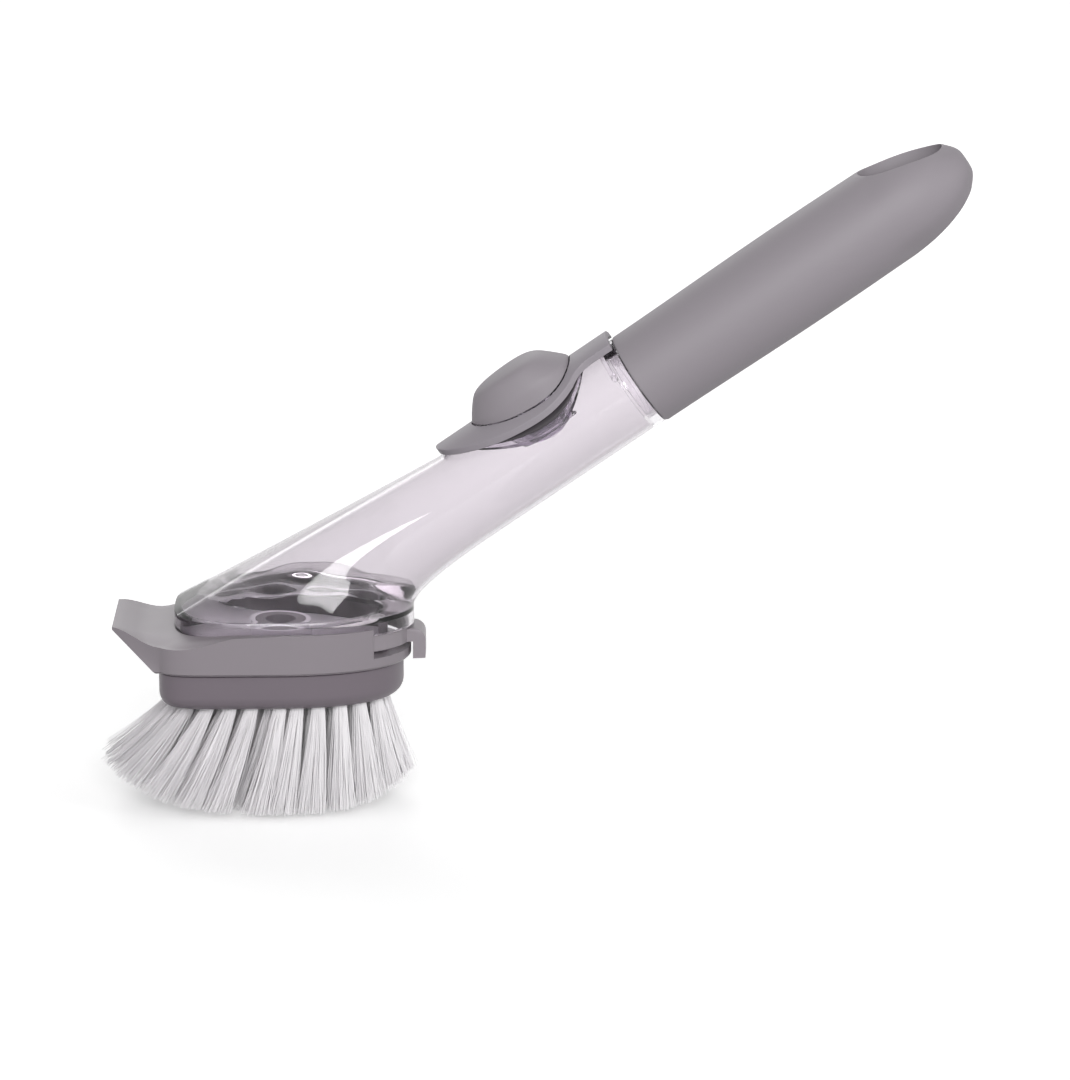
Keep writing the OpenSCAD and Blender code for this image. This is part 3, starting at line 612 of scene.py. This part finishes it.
print("stage: cover plate and thumb button")
plate = {"front": 60, "back": 112.9, "half": 13.6, "end": 121.3, "tail": 8.3, "leave": 105.5,
         "settle": 114, "endShare": 0.3, "thick": 2, "over": 17.6, "gap": 0.3,
         "shares": (0, 0.12, 0.35, 0.6, 0.85, 1), "soft": 0.8, "softSteps": 4}
# Levels are inset at the front, inset at the back, share of the half width, and height
button = {"front": 73.3, "back": 108.3, "half": 11.4, "sides": 48, "smooth": 2, "foot": 17.65, "levels": [
    (0, 0, 1, 17.9), (0.9, 1.3, 0.97, 19.2), (2.2, 3.1, 0.91, 21), (3.9, 5.2, 0.83, 23),
    (4.8, 6.4, 0.78, 23.9), (5.8, 7.6, 0.72, 24.6), (7.4, 9, 0.63, 25.1), (9.8, 11, 0.48, 25.5),
    (12.8, 13.2, 0.3, 25.8), (15.6, 15.4, 0.12, 25.9)]}


# The plate's oval runs out into the tail through a hollow curve on each side
def plateOutline():
    p = plate
    ring = ovalRing(p["front"], p["back"], p["half"], 0)
    join = max(k for k in range(len(ring) // 2) if ring[k].x > p["leave"])
    start = ring[join].copy()
    corner = round(join * p["endShare"])
    for k in range(join + 1):
        if k <= corner:
            spot = Vector((p["end"], p["tail"] * k / corner, 0))
        else:
            x = mix(p["end"], start.x, (k - corner) / (join - corner))
            rise = max(0, (p["settle"] - x) / (p["settle"] - start.x))
            spot = Vector((x, mix(p["tail"], start.y, rise ** 2), 0))
        ring[k] = spot
        ring[-k] = Vector((spot.x, -spot.y, 0))
    return ring


# Lifts a place of the outline on to a cylinder round the handle's axis
def onTube(place, radius):
    up = math.sqrt(max(radius ** 2 - place.y ** 2, 0))
    return Vector((place.x, place.y, up))


def makePlate():
    p = plate
    hole = ovalRing(button["front"] - p["gap"], button["back"] + p["gap"], button["half"] + p["gap"], 0)
    outline = plateOutline()
    upper = [[onTube(mix(a, b, t), p["over"]) for a, b in zip(hole, outline)] for t in p["shares"]]
    down = Vector((0, 0, p["thick"]))
    lower = [[place - down for place in ring] for ring in reversed(upper)]
    mesh = bmesh.new()
    loft(mesh, upper + lower, closed=True)
    obj = piece("coverPlate", mesh, plateGrey, "wand", ["cover_plate"], local=True)
    soften(obj, p["soft"], p["softSteps"])


makePlate()


def makeButton():
    b = button
    foot = ovalRing(b["front"], b["back"], b["half"], 0, sides=b["sides"])
    rings = [[onTube(place, b["foot"]) for place in foot]]
    for front, back, share, up in b["levels"]:
        rings.append(ovalRing(b["front"] + front, b["back"] - back, b["half"] * share, up, sides=b["sides"]))
    mesh = bmesh.new()
    loft(mesh, rings, caps=(False, True))
    obj = piece("thumbButton", mesh, softGrey, "button", ["thumb_button"], local=True, sharp=80)
    subdivide(obj, b["smooth"])


makeButton()

print("stage: grip")
grip = {"at": 121.9, "length": 117, "diameter": 29.5, "belly": 1.2, "end": 26, "power": 2.15,
        "slotFront": 209.7, "slotBack": 235.3, "slotHalf": 8.5, "lowHalf": 5.5, "slotBands": 6,
        "rim": 0.55, "core": 12.3, "smooth": 3, "sides": 24, "mouthInset": 0.25, "mouthBand": 1,
        "stations": (130, 145, 160, 175, 190, 200, 206.5), "endStations": (237.2, 238.7),
        "lastRadius": 238.3, "tip": 0.0003, "clearOf": 50, "slotAngle": 38, "rimAngle": 37.5,
        "tolerance": 0.05}


def gripRadius(along):
    g = grip
    x = along - g["at"]
    radius = g["diameter"] / 2 + g["belly"] / 2 * math.sin(math.pi * x / g["length"]) ** 2
    share = (x - (g["length"] - g["end"])) / g["end"]
    return radius if share <= 0 else radius * max(1 - share ** g["power"], 0) ** (1 / g["power"])


# The cage of the sleeve: rings along the grip, with the slot's rims moved on to its oval outline
def makeGrip():
    g = grip
    reach = 3 / (2 + math.cos(math.tau / g["sides"]))
    slotStops = [mix(g["slotFront"], g["slotBack"], k / g["slotBands"]) for k in range(g["slotBands"] + 1)]
    places = [g["at"] + g["mouthInset"], g["at"] + g["mouthBand"], *g["stations"], *slotStops,
              *g["endStations"]]
    angles = [math.tau * (k + 0.5) / g["sides"] for k in range(g["sides"])]
    radii = [(g["at"], g["core"]), (g["at"], gripRadius(g["at"]) - g["mouthInset"])]
    radii += [(at, gripRadius(min(at, g["lastRadius"]))) for at in places]
    rings = [[Vector((at, radius * reach * math.sin(a), radius * reach * math.cos(a))) for a in angles]
             for at, radius in radii]
    mesh = bmesh.new()
    loft(mesh, rings, caps=(False, True))
    tip = max(mesh.faces, key=lambda face: face.calc_center_median().x)
    bmesh.ops.poke(mesh, faces=[tip], offset=g["tip"])
    middle, half = (g["slotFront"] + g["slotBack"]) / 2, (g["slotBack"] - g["slotFront"]) / 2
    steepest = math.tan(math.radians(g["slotAngle"]))
    inSlot = [face for face in mesh.faces
              if g["slotFront"] - g["tolerance"] < min(v.co.x for v in face.verts)
              and max(v.co.x for v in face.verts) < g["slotBack"] + g["tolerance"]
              and all(v.co.z and abs(v.co.y / v.co.z) < steepest for v in face.verts)]
    bmesh.ops.delete(mesh, geom=inSlot, context="FACES")
    rim = [edge for edge in mesh.edges
           if edge.is_boundary and edge.verts[0].co.x > g["at"] + g["clearOf"]]
    cageSide = reach * math.sin(math.radians(g["rimAngle"]))
    for vert in {v for edge in rim for v in edge.verts}:
        side = math.copysign(1, vert.co.z)
        across = vert.co.y / (gripRadius(vert.co.x) * cageSide)
        angle = math.atan2(across, (vert.co.x - middle) / half)
        u, v = ovalShape(forms["slot"], angle)
        vert.co.x, vert.co.y = middle + half * u, (g["slotHalf"] if side > 0 else g["lowHalf"]) * v
        vert.co.z = side * math.sqrt(max((gripRadius(vert.co.x) * reach) ** 2 - vert.co.y ** 2, 0))
    walls = bmesh.ops.bridge_loops(mesh, edges=rim)["faces"]
    edges = [edge for edge in {e for face in walls for e in face.edges}
             if sum(face in walls for face in edge.link_faces) == 1]
    bmesh.ops.bevel(mesh, geom=edges, offset=g["rim"], segments=2, profile=0.5, affect="EDGES", material=-1)
    obj = piece("gripSleeve", mesh, softGrey, "grip", ["grip_sleeve"], local=True, sharp=80)
    subdivide(obj, g["smooth"])


makeGrip()

print("stage: carried-over pieces")
finishes = {
    "foot_plate": whitePlastic, "outlet_valve": silicone, "valve_retainer": innerGrey, "pump_seat": seatTint,
    "seat_gasket": gasketDark, "cover_strap": clearBand, "pump_bellows": silicone, "air_valve": silicone,
    "collar_band": clearBand, "button_stem": whitePlastic, "release_latch": latchGrey,
    "refill_collar": shadedBaseGrey, "outlet_seal": silicone, "neck_seal": gasketDark, "grip_core": innerGrey,
}
for name, material in finishes.items():
    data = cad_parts[name].data
    data.materials.clear()
    data.materials.append(material)

print("stage: floor, light and camera")
room = {"floor": 6.0, "target": (0.0765, 0, 0.0808), "distance": 1.8, "elevation": 15, "lens": 200,
        "sensor": 36, "worldDiffuse": 0.36, "glowSpan": (-0.2, 0.45), "glow": (0.26, 0.51)}
# Place, size and power of each lamp
lamps = {"key": ((0.1, -1.35, 0.62), (0.7, 0.5), 11.5), "fill": ((1.1, -0.6, 0.45), (0.4, 0.6), 2.5),
         "back": ((-0.2, 1.1, 0.9), (0.8, 0.8), 4)}


# One for the rays that reach the picture straight, mirrored or through the clear pieces
def seenRays(tree):
    path = tree.nodes.new("ShaderNodeLightPath")
    seen = path.outputs["Is Camera Ray"]
    for ray in ("Is Glossy Ray", "Is Transmission Ray"):
        larger = tree.nodes.new("ShaderNodeMath")
        larger.operation = "MAXIMUM"
        tree.links.new(seen, larger.inputs[0])
        tree.links.new(path.outputs[ray], larger.inputs[1])
        seen = larger.outputs["Value"]
    return seen


def makeFloor():
    mesh = bmesh.new()
    bmesh.ops.create_grid(mesh, x_segments=1, y_segments=1, size=room["floor"] / 2)
    obj = makeObject("floor", mesh)
    material, shader = newMaterial("floorWhite")
    shader.inputs["Roughness"].default_value = 0.9
    tree = material.node_tree
    place = tree.nodes.new("ShaderNodeTexCoord")
    axes = tree.nodes.new("ShaderNodeSeparateXYZ")
    tree.links.new(place.outputs["Object"], axes.inputs["Vector"])
    glow = tree.nodes.new("ShaderNodeMapRange")
    glow.inputs["From Min"].default_value, glow.inputs["From Max"].default_value = room["glowSpan"]
    glow.inputs["To Min"].default_value, glow.inputs["To Max"].default_value = room["glow"]
    tree.links.new(axes.outputs["Y"], glow.inputs["Value"])
    strength = tree.nodes.new("ShaderNodeMath")
    strength.operation = "MULTIPLY"
    tree.links.new(glow.outputs["Result"], strength.inputs[0])
    tree.links.new(seenRays(tree), strength.inputs[1])
    tone = tree.nodes.new("ShaderNodeMix")
    tone.data_type = "RGBA"
    tone.inputs["A"].default_value = colours["floorBounce"]
    tone.inputs["B"].default_value = colours["floor"]
    tree.links.new(seenRays(tree), tone.inputs["Factor"])
    tree.links.new(tone.outputs["Result"], shader.inputs["Base Color"])
    shader.inputs["Emission Color"].default_value = colours["floor"]
    tree.links.new(strength.outputs["Value"], shader.inputs["Emission Strength"])
    obj.data.materials.append(material)


def areaLight(name, place, size, power):
    lamp = bpy.data.lights.new(name, "AREA")
    lamp.shape = "RECTANGLE"
    lamp.size, lamp.size_y = size
    lamp.energy = power
    obj = bpy.data.objects.new(name, lamp)
    obj.location = place
    way = Vector(room["target"]) - Vector(place)
    obj.rotation_euler = way.to_track_quat("-Z", "Y").to_euler()
    bpy.context.scene.collection.objects.link(obj)


def makeWorld():
    world = bpy.data.worlds.new("studio")
    bpy.context.scene.world = world
    world.use_nodes = True
    tree = world.node_tree
    backdrop = tree.nodes["Background"]
    backdrop.inputs["Color"].default_value = (1, 1, 1, 1)
    strength = tree.nodes.new("ShaderNodeMapRange")
    strength.inputs["To Min"].default_value = room["worldDiffuse"]
    strength.inputs["To Max"].default_value = 1
    tree.links.new(seenRays(tree), strength.inputs["Value"])
    tree.links.new(strength.outputs["Result"], backdrop.inputs["Strength"])


def makeCamera():
    lens = bpy.data.cameras.new("camera")
    lens.lens = room["lens"]
    lens.sensor_width = room["sensor"]
    obj = bpy.data.objects.new("camera", lens)
    rise = math.radians(room["elevation"])
    back = Vector((0, -math.cos(rise), math.sin(rise)))
    obj.location = Vector(room["target"]) + back * room["distance"]
    obj.rotation_euler = (-back).to_track_quat("-Z", "Y").to_euler()
    bpy.context.scene.collection.objects.link(obj)
    bpy.context.scene.camera = obj


makeFloor()
for name, lamp in lamps.items():
    areaLight(name, *lamp)
makeWorld()
makeCamera()
bpy.context.scene.view_settings.view_transform = "Standard"
